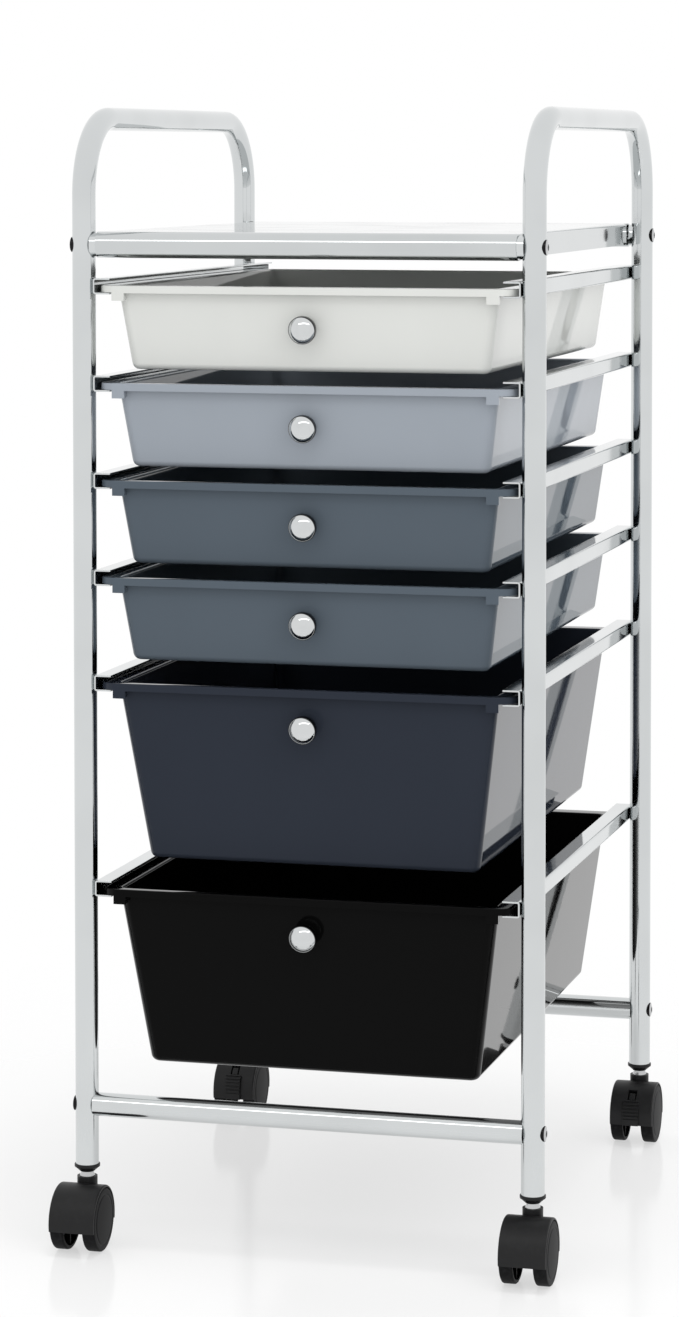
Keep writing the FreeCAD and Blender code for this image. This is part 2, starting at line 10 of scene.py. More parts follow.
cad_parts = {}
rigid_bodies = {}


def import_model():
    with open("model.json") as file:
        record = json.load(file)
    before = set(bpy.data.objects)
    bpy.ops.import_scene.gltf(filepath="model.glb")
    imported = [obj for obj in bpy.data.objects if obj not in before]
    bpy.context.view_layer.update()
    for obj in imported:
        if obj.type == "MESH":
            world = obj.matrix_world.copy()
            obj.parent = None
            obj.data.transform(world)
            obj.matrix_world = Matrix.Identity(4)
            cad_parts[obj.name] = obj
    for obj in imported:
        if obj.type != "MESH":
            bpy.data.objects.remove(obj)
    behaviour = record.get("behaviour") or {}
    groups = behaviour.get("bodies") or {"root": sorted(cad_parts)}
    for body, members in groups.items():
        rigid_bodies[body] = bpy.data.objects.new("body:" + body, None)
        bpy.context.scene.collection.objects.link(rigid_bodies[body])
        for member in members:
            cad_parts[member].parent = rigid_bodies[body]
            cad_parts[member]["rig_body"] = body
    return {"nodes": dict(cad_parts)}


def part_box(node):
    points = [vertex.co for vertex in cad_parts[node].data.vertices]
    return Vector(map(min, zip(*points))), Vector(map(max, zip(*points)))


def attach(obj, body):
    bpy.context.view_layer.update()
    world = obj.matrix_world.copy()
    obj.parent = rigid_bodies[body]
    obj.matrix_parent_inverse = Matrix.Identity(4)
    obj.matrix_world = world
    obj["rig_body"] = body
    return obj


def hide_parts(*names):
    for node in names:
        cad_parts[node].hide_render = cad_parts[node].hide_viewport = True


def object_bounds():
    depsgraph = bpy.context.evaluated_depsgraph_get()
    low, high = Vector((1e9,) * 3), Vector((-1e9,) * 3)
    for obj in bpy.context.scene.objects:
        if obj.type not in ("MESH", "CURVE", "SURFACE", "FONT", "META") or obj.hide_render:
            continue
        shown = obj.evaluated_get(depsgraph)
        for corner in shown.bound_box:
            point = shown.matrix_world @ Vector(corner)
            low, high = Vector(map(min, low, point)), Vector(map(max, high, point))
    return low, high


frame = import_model()
CAD_LOW, CAD_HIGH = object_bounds()

bl_info = {
    "name": "Rolling drawer cart",
    "version": (1, 0, 0),
    "blender": (4, 5, 0),
    "location": "View3D > Sidebar > Cart",
    "description": "Dresses the solids of a rolling drawer cart and sets its stage",
    "category": "Object",
}

SIDES = {"left": -1, "right": 1}
ENDS = ("front", "rear")
DRAWERS = range(1, 7)
WHITE = (1.0, 1.0, 1.0)
UPWARDS = (0, 0, 1)
ACROSS = (1, 0, 0)

# Distances in metres within which points count as one
WELD = 1e-6
FINE_WELD = 1e-7

# Angles in degrees from which an edge between two faces shows as sharp
CREASE = 38.0
SHEET_CREASE = 50.0
TURNED_CREASE = 30.0
MOULDED_CREASE = 32.0

# Rows of faces on small roundings
ROUND_STEPS = 5
BROKEN_STEPS = 2
HEAD_STEPS = 6
BOTTOM_STEPS, MOUTH_STEPS, RIM_STEPS = 5, 3, 4
THUMB_STEPS = 6

# Rows of faces on a brake flap: below its ribs, and on each rib or gap
FLAP_ROWS, RIB_ROWS = 8, 2

KEY_SIDES = 6
KEY_LAND = 1.15  # radius of the flat round a screw's key socket, in socket radii
KEY_RIM = 0.9  # height of that socket's rim, in head heights
# MARK_BAND is the band at the edge of a screw head or knob head that carries painted shade.
EDGE_ROUND = 0.95  # share of a knob's edge that its rounding takes up
MARK_BAND = 0.0001  # width of the band at an edge that is marked for the finish
FLAT = 0.3  # degrees between faces that are joined into one


def middle(node):
    low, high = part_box(node)
    return (low + high) / 2


def span(node):
    low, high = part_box(node)
    return high - low


# Settings


def length(name, description, default):
    return bpy.props.FloatProperty(
        name=name, description=description, default=default, min=0.0, precision=5, unit="LENGTH")


def angle(name, description, degrees):
    return bpy.props.FloatProperty(
        name=name, description=description, default=math.radians(degrees), subtype="ANGLE",
        unit="ROTATION")


def colour(name, description, default):
    return bpy.props.FloatVectorProperty(
        name=name, description=description, default=default, size=3, min=0.0, max=1.0,
        subtype="COLOR")


def count(name, description, default):
    return bpy.props.IntProperty(name=name, description=description, default=default, min=3)


def amount(name, description, default):
    return bpy.props.FloatProperty(name=name, description=description, default=default, min=0.0)


class TubeSizes(bpy.types.PropertyGroup):
    """Frame tubes, their screws, sockets and stems."""

    radius: length("Radius", "Radius of every frame tube", span("front_crossbar").z / 2)
    bend: length("Arch bend", "Radius of the arch bends at the axis of the tube", 0.052)
    wall: length("Wall", "Thickness of the tubes' walls", 0.001)
    seat_gap: length("Seat gap", "Gap between pieces that seat on or in each other", 0.00005)
    facets: count("Facets", "Faces round a tube", 56)
    bend_steps: count("Bend steps", "Rows of faces along one arch bend", 18)
    head_radius: length("Head radius", "Radius of a frame screw's head", 0.00525)
    head_height: length("Head height", "Height of a frame screw's head above the post", 0.0015)
    head_edge: length("Head edge", "Height of the straight edge of a screw's head", 0.00045)
    key_radius: length("Key socket", "Radius across the corners of the screw's hex socket", 0.0023)
    key_depth: length("Key depth", "Depth of the hex socket", 0.0011)
    shank_radius: length("Shank radius", "Radius of a frame screw's shank", 0.003)
    screw_reach: length("Screw reach", "Frame screw beyond the far side of its post", 0.0136)
    screw_facets: count("Screw facets", "Faces round a frame screw", 36)
    lip: length("Socket lip", "Overhang of a stem socket's lip beyond the tube", 0.0008)
    lip_height: length("Lip height", "Height of a stem socket's lip", 0.0023)
    lip_low: length("Lip's lower edge", "Radius of the lip's lower edge", 0.00035)
    lip_high: length("Lip's upper edge", "Radius of the lip's upper edge", 0.0006)
    lip_step: length("Lip step", "Step from the lip in to the cone under it", 0.0004)
    cone_height: length("Cone height", "Height of the cone under a socket's lip", 0.0031)
    cone_foot: length("Cone foot", "From the stem to the outside of the cone's foot", 0.00095)
    stem_radius: length("Stem radius", "Radius of a caster's stem", 0.004)
    stem_edge: length("Stem edge", "Radius of the edges at a stem's ends", 0.0008)
    stem_facets: count("Stem facets", "Faces round a stem or a socket", 40)
    collar_radius: length("Collar radius", "Radius of the stem's collar at its foot", 0.0052)
    collar_height: length("Collar height", "Height of the stem's collar", 0.0032)
    collar_edge: length("Collar edge", "Height of the collar's straight edge", 0.0004)


class SheetSizes(bpy.types.PropertyGroup):
    """Channel rails and the sheet tray."""

    rail: length("Rail sheet", "Thickness of the rails' sheet", 0.0012)
    rail_fold: length("Rail fold", "Outer radius of the rails' folds", 0.0018)
    rail_edge: length("Rail edge", "Width of the broken edges of the rails", 0.0002)
    stop_inset: length("Stop inset", "Drawer stop ahead of the rail's rear end", 0.008)
    stop_gap: length("Stop gap", "Drawer stop to the rail's upper and lower sides", 0.0003)
    tray: length("Tray sheet", "Thickness of the tray's sheet", 0.0009)
    tray_fold: length("Tray fold", "Outer radius of the folds at the tray's sides", 0.0025)
    fold_steps: count("Fold steps", "Rows of faces round one of those folds", 6)
    flange: length("Flange", "Height of the tray's folded sides", 0.016)
    relief: length("Relief", "From the tray's tubes to the ends of its folded sides", 0.004)
    end_cut: length("End cut", "Slant of the rolled edges' ends", 0.001)
    wrap: angle("Roll wrap", "Turn of the tray's rolled edges round their tubes", 215.0)
    roll_steps: count("Roll steps", "Rows of faces round a rolled edge", 30)


class DrawerSizes(bpy.types.PropertyGroup):
    """Moulded drawers."""

    wall: length("Wall", "Thickness of the drawer's walls", 0.002)
    side_draft: angle("Side draft", "Lean of the sides", 8.0)
    front_draft: angle("Front draft", "Lean of the front", 8.0)
    rear_draft: angle("Rear draft", "Lean of the rear", 3.0)
    side_inset: length("Side inset", "From the rim's outside to the tub at the sides", 0.0129)
    front_inset: length("Front inset", "From the rim's outside to the tub at the front", 0.0045)
    rear_inset: length("Rear inset", "From the rim's outside to the tub at the rear", 0.011)
    corner: length("Corner", "Radius of the tub's upright corners", 0.007)
    least_corner: length("Least corner", "Least radius of those corners inside", 0.0008)
    bottom: length("Bottom edge", "Radius of the tub's lower edge", 0.0045)
    mouth: length("Mouth edge", "Radius where the inside turns into the rim", 0.0016)
    rim_height: length("Rim height", "Height of the turned-down rim", 0.0047)
    rim_corner: length("Rim corner", "Radius of the rim's corners", 0.014)
    rim_edge: length("Rim edge", "Radius of the rim's upper edge", 0.0009)
    rim_fall: length("Rim fall", "Fall of the rim from the mouth outwards", 0.0001)
    band_height: length("Band height", "Height of the rim at the front", 0.0052)
    band_inset: length("Band inset", "From the rim's sides to the ends of the front band", 0.0113)
    lug_width: length("Lug width", "Width of the lugs under the front corners", 0.0087)
    lug_height: length("Lug height", "Height of the lugs from the top of the rim", 0.0104)
    lug_depth: length("Lug depth", "Depth of the lugs from the front", 0.008)
    lug_edge: length("Lug edge", "Width of the lugs' broken edges", 0.0006)
    lug_inset: length("Lug inset", "Lugs behind the edges of the front's skin", 0.0002)
    facets: count("Corner facets", "Faces round an upright corner", 7)


class KnobSizes(bpy.types.PropertyGroup):
    """Knobs of the drawers."""

    radius: length("Radius", "Radius of the knob", 0.0095)
    length: length("Length", "From the drawer's face to the top of the dome", 0.016)
    disc: length("Head", "Thickness of the knob's head", 0.0086)
    crown: length("Crown", "Height of the dome", 0.0047)
    edge: length("Edge", "Radius of the head's edges", 0.0007)
    neck: length("Neck", "Radius of the neck", 0.00425)
    foot: length("Foot", "Radius of the foot", 0.0055)
    foot_height: length("Foot height", "Height of the foot", 0.0012)
    shallow_drop: length("Shallow drop", "Knob below the rim of a shallow drawer", 0.0274)
    deep_drop: length("Deep drop", "Knob below the rim of a deep drawer", 0.0256)
    deep_from: length("Deep from", "Height from which a drawer counts as deep", 0.1)
    facets: count("Facets", "Faces round a knob", 64)
    neck_steps: count("Neck steps", "Rows of faces along the neck", 8)
    dome_steps: count("Dome steps", "Rows of faces from the dome's edge to its top", 10)


class CasterSizes(bpy.types.PropertyGroup):
    """Wheels and brake flaps of the casters."""

    rim: length("Rim", "Thickness of the wheel's rim", 0.0026)
    disc: length("Disc", "Thickness of the wheel's outer disc", 0.0026)
    hub: length("Hub", "Radius of the wheel's hub", 0.006)
    bore: length("Bore", "Radius of the bore for the axle", 0.00305)
    crown: length("Crown", "Height of the outer disc's crown", 0.0008)
    edge: length("Edge", "Radius of the tread's edges", 0.0012)
    groove: length("Groove", "Radius of the ring moulded into the outer disc", 0.0172)
    groove_depth: length("Groove depth", "Depth of that ring", 0.0003)
    tread_band: length("Tread band", "Depth to which a tread is scuffed", 0.0004)
    rib: length("Rib", "Thickness of the wheel's ribs", 0.0016)
    ribs: count("Ribs", "Ribs inside a wheel", 6)
    facets: count("Facets", "Faces round a wheel", 72)
    disc_steps: count("Disc steps", "Rows of faces from the disc's edge to its middle", 24)
    hood: length("Hood", "Radius of the hoods", 0.0235)
    flap_width: length("Flap width", "Width of a brake flap", 0.012)
    flap_low: angle("Flap low", "Lower end of a brake flap, above the axle's front", -10.0)
    flap_high: angle("Flap high", "Upper end of a brake flap", 34.0)
    flap_gap: length("Flap gap", "Brake flap to the hood", 0.0003)
    flap_root: length("Flap root", "Thickness of a brake flap between its ribs", 0.001)
    flap_face: length("Flap face", "Thickness of a brake flap below its ribs", 0.0017)
    flap_top: length("Flap top", "Thickness of a brake flap over its ribs", 0.0024)
    flap_edge: length("Flap edge", "Width of a brake flap's broken edges", 0.0003)
    flap_ribs: count("Flap ribs", "Ribs across a brake flap", 6)
    blade: length("Blade", "Width of a brake flap's blade", 0.006)
    thumb_width: length("Thumb width", "Width of the block above a brake flap", 0.0044)
    thumb_inset: length("Thumb inset", "That block behind the face of the hood", 0.0002)
    thumb_low: angle("Thumb low", "Lower end of that block", 36.5)
    thumb_high: angle("Thumb high", "Upper end of that block", 51.0)
    pivot: length("Pivot", "From the axle to the pin of a brake flap", 0.017)
    pivot_lift: angle("Pivot lift", "The pin above the axle's front", 45.0)
    pin_radius: length("Pin radius", "Radius of that pin", 0.0016)
    pin_length: length("Pin length", "Length of that pin", 0.011)
    pin_facets: count("Pin facets", "Faces round that pin", 32)
    boss: length("Boss", "Radius of the boss round that pin", 0.0032)


class CartColours(bpy.types.PropertyGroup):
    """Colours of the finishes."""

    chrome: colour("Chrome", "Bright plate on the tubes and rails", (0.645, 0.665, 0.67))
    # Tray chrome is the frame chrome made darker: painted shade standing in for the darker
    # reflections on the tray.
    sheet: colour("Tray chrome", "Bright plate on the tray", (0.61, 0.63, 0.635))
    steel: colour("Steel", "Screws, stems and axles", (0.56, 0.565, 0.57))
    silver: colour("Silver", "Knobs", (0.64, 0.655, 0.66))
    black: colour("Caster black", "Hoods, wheels, sockets and brake flaps", (0.008, 0.008, 0.0085))
    drawer_1: colour("Drawer 1", "Pale ivory", (0.66, 0.67, 0.647))
    drawer_2: colour("Drawer 2", "Light blue-grey", (0.31, 0.341, 0.382))
    drawer_3: colour("Drawer 3", "Slate", (0.088, 0.1095, 0.133))
    drawer_4: colour("Drawer 4", "Slate", (0.088, 0.1095, 0.133))
    drawer_5: colour("Drawer 5", "Dark navy", (0.0252, 0.0305, 0.0425))
    drawer_6: colour("Drawer 6", "Black", (0.0027, 0.0027, 0.0027))
    floor: colour("Floor", "Floor of the stage", (0.76, 0.76, 0.76))


class CartStage(bpy.types.PropertyGroup):
    """Camera and light."""

    lens: bpy.props.FloatProperty(
        name="Lens", description="Focal length", default=103.302, unit="CAMERA")
    place: bpy.props.FloatVectorProperty(
        name="Camera", description="Place of the camera", default=(0.6936, -2.6146, 0.7528),
        subtype="TRANSLATION", unit="LENGTH")
    yaw: angle("Yaw", "Turn of the camera to its left", 14.692)
    pitch: angle("Pitch", "Tilt of the camera below the horizon", 2.697)
    shift: bpy.props.FloatVectorProperty(
        name="Shift", description="Shift of the lens", default=(-0.03404, -0.25), size=2)
    dome: amount("Dome", "Light from all round", 1.0)
    bank: amount("Light bank", "Power of the wide light above the front", 9.0)
    fill: amount("Fill", "Power of the large light at the right", 10.0)
    overhead: amount("Overhead", "Power of the lamp that lights the floor alone", 30.0)
    floor_lift: amount("Floor lift", "Share of white in the floor that camera and metal see", 0.55)
    fade_start: length("Fade start", "Distance where the floor starts to fade", 0.16)
    fade_end: length("Fade end", "Distance where the floor has faded", 0.95)


# Meshes


def unique(items):
    """List of the items, each once, in a fixed order."""
    return list(dict.fromkeys(items))


def only(geom, kind):
    return [item for item in geom if isinstance(item, kind)]


def loop(bm, points, closed=False):
    """Adds a chain of edges through a few points."""
    verts = [bm.verts.new(point) for point in points]
    pairs = list(zip(verts, verts[1:] + verts[:1]))
    edges = [bm.edges.new(pair) for pair in (pairs if closed else pairs[:-1])]
    return verts, edges


def bevel(bm, geom, offset, segments, affect="EDGES"):
    return bmesh.ops.bevel(
        bm, geom=geom, offset=offset, offset_type="OFFSET", segments=segments, profile=0.5,
        affect=affect, material=-1, clamp_overlap=True)


def run(bm, edges, step):
    """Extrudes edges by a step and returns the new ones."""
    made = bmesh.ops.extrude_edge_only(bm, edges=edges)["geom"]
    verts = only(made, bmesh.types.BMVert)
    bmesh.ops.translate(bm, verts=verts, vec=step)
    ends = set(verts)
    return [edge for edge in only(made, bmesh.types.BMEdge) if ends.issuperset(edge.verts)]


def turn(bm, edges, centre, swing, steps):
    """Sweeps edges round an axis along X and returns the last ones."""
    verts = unique(vert for edge in edges for vert in edge.verts)
    made = bmesh.ops.spin(
        bm, geom=verts + edges, cent=centre, axis=ACROSS, angle=swing, steps=steps)
    return only(made["geom_last"], bmesh.types.BMEdge)


def close(bm):
    bmesh.ops.holes_fill(bm, edges=bm.edges[:], sides=0)
    bmesh.ops.recalc_face_normals(bm, faces=bm.faces[:])


def lathe(points, rounds, steps):
    """Turned solid about Z from (radius, height) points; rounds gives edge radii by point."""
    bm = bmesh.new()
    verts = loop(bm, [(radius, 0, height) for radius, height in points])[0]
    for index, radius in rounds.items():
        bevel(bm, [verts[index]], radius, ROUND_STEPS, "VERTICES")
    bmesh.ops.spin(
        bm, geom=bm.verts[:] + bm.edges[:], cent=(0, 0, 0), axis=UPWARDS, angle=2 * math.pi,
        steps=steps, use_merge=True)
    bmesh.ops.remove_doubles(bm, verts=bm.verts[:], dist=FINE_WELD)
    bmesh.ops.recalc_face_normals(bm, faces=bm.faces[:])
    return bm


def dome_height(radius, rim, crown):
    """Height of a dome above its rim, at a radius."""
    ball = (rim**2 + crown**2) / (2 * crown)
    return crown - ball + math.sqrt(ball**2 - radius**2)


def quarter_turn(steps):
    """Angles from nought to a right angle."""
    return [math.pi / 2 * step / steps for step in range(steps + 1)]


def block(bm, low, high, edge):
    """Adds a box with broken edges."""
    low, high = Vector(low), Vector(high)
    place = Matrix.Translation((low + high) / 2) @ Matrix.Diagonal((high - low).to_4d())
    verts = bmesh.ops.create_cube(bm, size=1.0, matrix=place)["verts"]
    if edge:
        edges = unique(item for vert in verts for item in vert.link_edges)
        bevel(bm, edges, edge, BROKEN_STEPS)


def break_edges(bm, width, limit):
    """Bevels the edges between faces that meet at more than a limit in degrees."""
    sharp = [edge for edge in bm.edges if edge.calc_face_angle(0.0) > math.radians(limit)]
    bevel(bm, sharp, width, BROKEN_STEPS)


def gather(bm, other, place):
    """Moves a finished bmesh into place inside another one."""
    bmesh.ops.transform(other, matrix=place, verts=other.verts[:])
    mesh = bpy.data.meshes.new("part")
    other.to_mesh(mesh)
    other.free()
    bm.from_mesh(mesh)
    bpy.data.meshes.remove(mesh)


def facing_x(side):
    return Matrix.Rotation(math.radians(90 * side), 4, "Y")


def sheet_metal(bm, order, thickness):
    """Gives an open skin its thickness, below the side that its last face by order shows."""
    bmesh.ops.recalc_face_normals(bm, faces=bm.faces[:])
    bm.normal_update()
    if max(bm.faces, key=order).normal.z < 0:
        bmesh.ops.reverse_faces(bm, faces=bm.faces[:])
    bmesh.ops.solidify(bm, geom=bm.faces[:], thickness=thickness)


def show(name, bm, node, finish, sharp=CREASE):
    """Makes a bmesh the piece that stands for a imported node."""
    limit = math.radians(sharp)
    for face in bm.faces:
        face.smooth = True
    for edge in bm.edges:
        edge.smooth = edge.calc_face_angle(0.0) < limit
    mesh = bpy.data.meshes.new(name)
    bm.to_mesh(mesh)
    bm.free()
    piece = bpy.data.objects.new(name, mesh)
    bpy.context.scene.collection.objects.link(piece)
    mesh.materials.append(finish_of(finish))
    weights = piece.modifiers.new("Even shading", "WEIGHTED_NORMAL")
    weights.keep_sharp = True
    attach(piece, frame["nodes"][node]["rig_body"])
    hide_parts(node)


def dress(node, finish):
    """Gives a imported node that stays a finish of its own."""
    materials = frame["nodes"][node].data.materials
    materials.clear()
    materials.append(finish_of(finish))


def merged(node):
    """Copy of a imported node's mesh with its triangles joined."""
    bm = bmesh.new()
    bm.from_mesh(frame["nodes"][node].data)
    bmesh.ops.remove_doubles(bm, verts=bm.verts[:], dist=WELD)
    bmesh.ops.dissolve_limit(
        bm, angle_limit=math.radians(FLAT), verts=bm.verts[:], edges=bm.edges[:])
    return bm


# Finishes


class Value:
    """A node's output that takes part in Python expressions."""

    def __init__(self, finish, socket):
        self.finish = finish
        self.socket = socket

    def math(self, operation, first, second):
        return self.finish.add("ShaderNodeMath", {"operation": operation}, {0: first, 1: second})

    def __add__(self, other):
        return self.math("ADD", self, other)

    def __radd__(self, other):
        return self.math("ADD", other, self)

    def __mul__(self, other):
        return self.math("MULTIPLY", self, other)

    def __rmul__(self, other):
        return self.math("MULTIPLY", other, self)


class Finish:
    """The node tree of a material or of the world."""

    def __init__(self, owner):
        owner.use_nodes = True
        self.owner = owner
        self.tree = owner.node_tree
        self.tree.nodes.clear()

    def add(self, kind, settings, inputs, output=0):
        """Adds a node: its settings first, then the values or links of its sockets."""
        node = self.tree.nodes.new(kind)
        for key, value in settings.items():
            if key == "stops":
                self.set_stops(node.color_ramp, value)
            else:
                setattr(node, key, value)
        for key, value in inputs.items():
            socket = node.inputs[key]
            if isinstance(value, Value):
                self.tree.links.new(value.socket, socket)
            elif socket.type == "RGBA":
                socket.default_value = (*value, 1.0)
            else:
                socket.default_value = value
        return Value(self, node.outputs[output]) if node.outputs else None

    @staticmethod
    def set_stops(ramp, stops):
        for element, (position, level) in zip(ramp.elements, stops):
            element.position = position
            element.color = (level, level, level, 1.0)

    def place(self):
        return self.add("ShaderNodeTexCoord", {}, {}, "Object")

    def noise(self, scale, detail=2.0, stretch=WHITE):
        where = self.place()
        if stretch != WHITE:
            where = self.add("ShaderNodeMapping", {}, {"Vector": where, "Scale": stretch})
        return self.add(
            "ShaderNodeTexNoise", {}, {"Vector": where, "Scale": scale, "Detail": detail})

    def patches(self, scale, low, high):
        """Noise with its middle greys spread from 0 to 1."""
        return self.add(
            "ShaderNodeValToRGB", {"stops": [(low, 0.0), (high, 1.0)]},
            {0: self.noise(scale, detail=3.0)})

    def between(self, factor, first, second):
        """Colour between two colours."""
        return self.add(
            "ShaderNodeMix", {"data_type": "RGBA"}, {0: factor, 6: first, 7: second}, 2)

    def bump(self, height, distance, strength):
        return self.add(
            "ShaderNodeBump", {}, {"Height": height, "Distance": distance, "Strength": strength})

    def mark(self, name):
        """Value that a mesh carries at its points."""
        return self.add("ShaderNodeAttribute", {"attribute_name": name}, {}, "Fac")

    def surface(self, sockets):
        shader = self.add("ShaderNodeBsdfPrincipled", {}, sockets)
        self.add("ShaderNodeOutputMaterial", {}, {"Surface": shader})
        return self.owner


def shade(tint, factor):
    return tuple(min(1.0, channel * factor) for channel in tint)


def bright_plate(finish, tint, polish):
    """Chrome plate: faint smudges, a fine haze and the slow ripple of drawn metal."""
    smudge = finish.patches(scale=13.0, low=0.42, high=0.72)
    haze = finish.noise(scale=520.0)
    ripple = finish.noise(scale=70.0, detail=1.0)
    return finish.surface({
        "Base Color": finish.between(smudge, tint, shade(tint, 0.94)),
        "Metallic": 1.0,
        "Roughness": polish + 0.045 * smudge + 0.03 * haze,
        "Normal": finish.bump(ripple + 0.06 * haze, distance=0.00004, strength=0.22),
    })


def turned_metal(finish, tint, polish):
    """Turned or rolled steel: fine grain, dull patches and painted shade, nearly black, at edges
    where marked.
    """
    dull = finish.patches(scale=60.0, low=0.4, high=0.7)
    grain = finish.noise(scale=2600.0)
    bare = finish.between(dull, tint, shade(tint, 0.85))
    return finish.surface({
        # Marked edges get painted shade: the colour drops to nearly black there.
        "Base Color": finish.between(finish.mark("edge"), bare, shade(tint, 0.03)),
        "Metallic": 1.0,
        "Roughness": polish + 0.1 * dull + 0.06 * grain,
        "Normal": finish.bump(grain, distance=0.00001, strength=0.25),
    })


def gloss_moulding(finish, tint, polish):
    """Glossy moulded plastic: slow flow clouds in the colour, slight sink and a fine skin."""
    cloud = finish.noise(scale=7.0, detail=4.0)
    flow = finish.noise(scale=26.0, stretch=(1.0, 1.0, 0.25))
    skin = finish.noise(scale=1500.0)
    sink = finish.noise(scale=16.0, detail=1.0)
    pale, deep = shade(tint, 1.07), shade(tint, 0.93)
    return finish.surface({
        "Base Color": finish.between(0.6 * cloud + 0.4 * flow, deep, pale),
        "Roughness": polish + 0.02 * cloud + 0.015 * skin,
        "Normal": finish.bump(sink + 0.012 * skin, distance=0.0004, strength=0.1),
        "IOR": 1.5,
        "Specular Tint": shade(WHITE, 0.08),
    })


def grained_moulding(finish, tint, polish):
    """Black plastic with a fine spark-eroded grain and a little dust."""
    grain = finish.noise(scale=3200.0, detail=3.0)
    dust = finish.patches(scale=240.0, low=0.5, high=0.82)
    return finish.surface({
        "Base Color": finish.between(dust * 0.5, tint, shade(tint, 2.1)),
        "Roughness": polish + 0.12 * grain + 0.08 * dust,
        "Normal": finish.bump(grain, distance=0.00003, strength=0.35),
        "IOR": 1.48,
        "Specular IOR Level": 0.27,
    })


def wheel_moulding(finish, tint, polish):
    """Hard black wheel plastic, scuffed grey on the tread."""
    grain = finish.noise(scale=2400.0, detail=3.0)
    scuff = finish.mark("tread") * finish.patches(scale=330.0, low=0.45, high=0.75)
    return finish.surface({
        "Base Color": finish.between(scuff * 0.55, tint, shade(tint, 3.2)),
        "Roughness": polish + 0.1 * grain + 0.18 * scuff,
        "Normal": finish.bump(grain + 0.8 * scuff, distance=0.00003, strength=0.35),
        "IOR": 1.48,
        "Specular IOR Level": 0.05,
    })


def polished_metal(finish, tint, polish):
    """Polished knob metal with a soft haze and a painted dark reflection and shade, nearly black,
    on the edge where marked.
    """
    haze = finish.noise(scale=900.0)
    smudge = finish.patches(scale=120.0, low=0.45, high=0.75)
    bare = finish.between(smudge, tint, shade(tint, 0.95))
    return finish.surface({
        # Marked edges get a painted dark reflection and shade: the colour drops to nearly black
        # there.
        "Base Color": finish.between(finish.mark("edge"), bare, shade(tint, 0.05)),
        "Metallic": 1.0,
        "Roughness": polish + 0.02 * haze + 0.02 * smudge,
        "Normal": finish.bump(haze, distance=0.00001, strength=0.1),
    })


# Recipe, colour and least roughness of each finish
FINISHES = {
    "bright_chrome": (bright_plate, "chrome", 0.045),
    # The tray's chrome is a darker copy of the tube chrome: painted shade in its reflections.
    "tray_chrome_painted_shade": (bright_plate, "sheet", 0.045),
    "turned_steel": (turned_metal, "steel", 0.12),
    "polished_knob": (polished_metal, "silver", 0.02),
    "caster_black": (grained_moulding, "black", 0.36),
    "wheel_black": (wheel_moulding, "black", 0.4),
    **{f"drawer_plastic_{number}": (gloss_moulding, f"drawer_{number}", 0.012)
       for number in DRAWERS},
}


def finish_of(name):
    """A finish by its name, made once."""
    material = bpy.data.materials.get(name)
    if material:
        return material
    recipe, tint, polish = FINISHES[name]
    tint = tuple(getattr(bpy.context.scene.cart_colours, tint))
    return recipe(Finish(bpy.data.materials.new(name)), tint, polish)


# Pieces


def side_tube(hand, sizes):
    """One post, the arch and the other post in a single sweep."""
    node = f"{hand}_side_tube"
    low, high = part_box(node)
    x, front, rear = (low.x + high.x) / 2, low.y + sizes.radius, high.y - sizes.radius
    shoulder = high.z - sizes.radius - sizes.bend
    bm = bmesh.new()
    foot = Matrix.Translation((x, front, low.z))
    bmesh.ops.create_circle(bm, segments=sizes.facets, radius=sizes.radius, matrix=foot)
    ring = run(bm, bm.edges[:], (0, 0, shoulder - low.z))
    ring = turn(bm, ring, (x, front + sizes.bend, shoulder), -math.pi / 2, sizes.bend_steps)
    ring = run(bm, ring, (0, rear - front - 2 * sizes.bend, 0))
    ring = turn(bm, ring, (x, rear - sizes.bend, shoulder), -math.pi / 2, sizes.bend_steps)
    run(bm, ring, (0, 0, low.z - shoulder))
    close(bm)
    show(f"{hand}_tube", bm, node, "bright_chrome")


def cross_tube(node, name, sizes):
    """Tube with straight ends, hollowed where they seat on the posts."""
    low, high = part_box(node)
    centre, post = middle(node), middle("right_side_tube").x
    bm = bmesh.new()
    place = Matrix.Translation((low.x, centre.y, centre.z)) @ facing_x(1)
    bmesh.ops.create_circle(bm, segments=sizes.facets, radius=sizes.radius, matrix=place)
    run(bm, bm.edges[:], (high.x - low.x, 0, 0))
    bmesh.ops.recalc_face_normals(bm, faces=bm.faces[:])
    bmesh.ops.solidify(bm, geom=bm.faces[:], thickness=sizes.wall)
    for vert in bm.verts:
        chord = math.sqrt((sizes.radius + sizes.seat_gap) ** 2 - (vert.co.y - centre.y) ** 2)
        vert.co.x = math.copysign(min(high.x, post - chord), vert.co.x)
    show(name, bm, node, "bright_chrome")


def frame_screw(sizes):
    """Button head with a hex socket on a plain shank, the post's face at z = 0."""
    shank = 2 * sizes.radius + sizes.screw_reach
    seat = sizes.radius - math.sqrt(sizes.radius**2 - sizes.head_radius**2)
    crown = sizes.head_height - sizes.head_edge
    land = sizes.key_radius * KEY_LAND
    points = [(0.0, -shank), (sizes.shank_radius, -shank), (sizes.shank_radius, -seat),
              (sizes.head_radius, -seat), (sizes.head_radius, sizes.head_edge)]
    for step in range(1, HEAD_STEPS + 1):
        radius = sizes.head_radius + (land - sizes.head_radius) * step / HEAD_STEPS
        points.append((radius, sizes.head_edge + dome_height(radius, sizes.head_radius, crown)))
    bm = lathe(points, {}, sizes.screw_facets)
    rim = [edge for edge in bm.edges if edge.is_boundary]
    key = bmesh.ops.create_circle(
        bm, segments=KEY_SIDES, radius=sizes.key_radius,
        matrix=Matrix.Translation((0, 0, sizes.head_height * KEY_RIM)))
    hexagon = unique(edge for vert in key["verts"] for edge in vert.link_edges)
    bmesh.ops.bridge_loops(bm, edges=rim + hexagon)
    run(bm, hexagon, (0, 0, -sizes.key_depth))
    close(bm)
    return bm


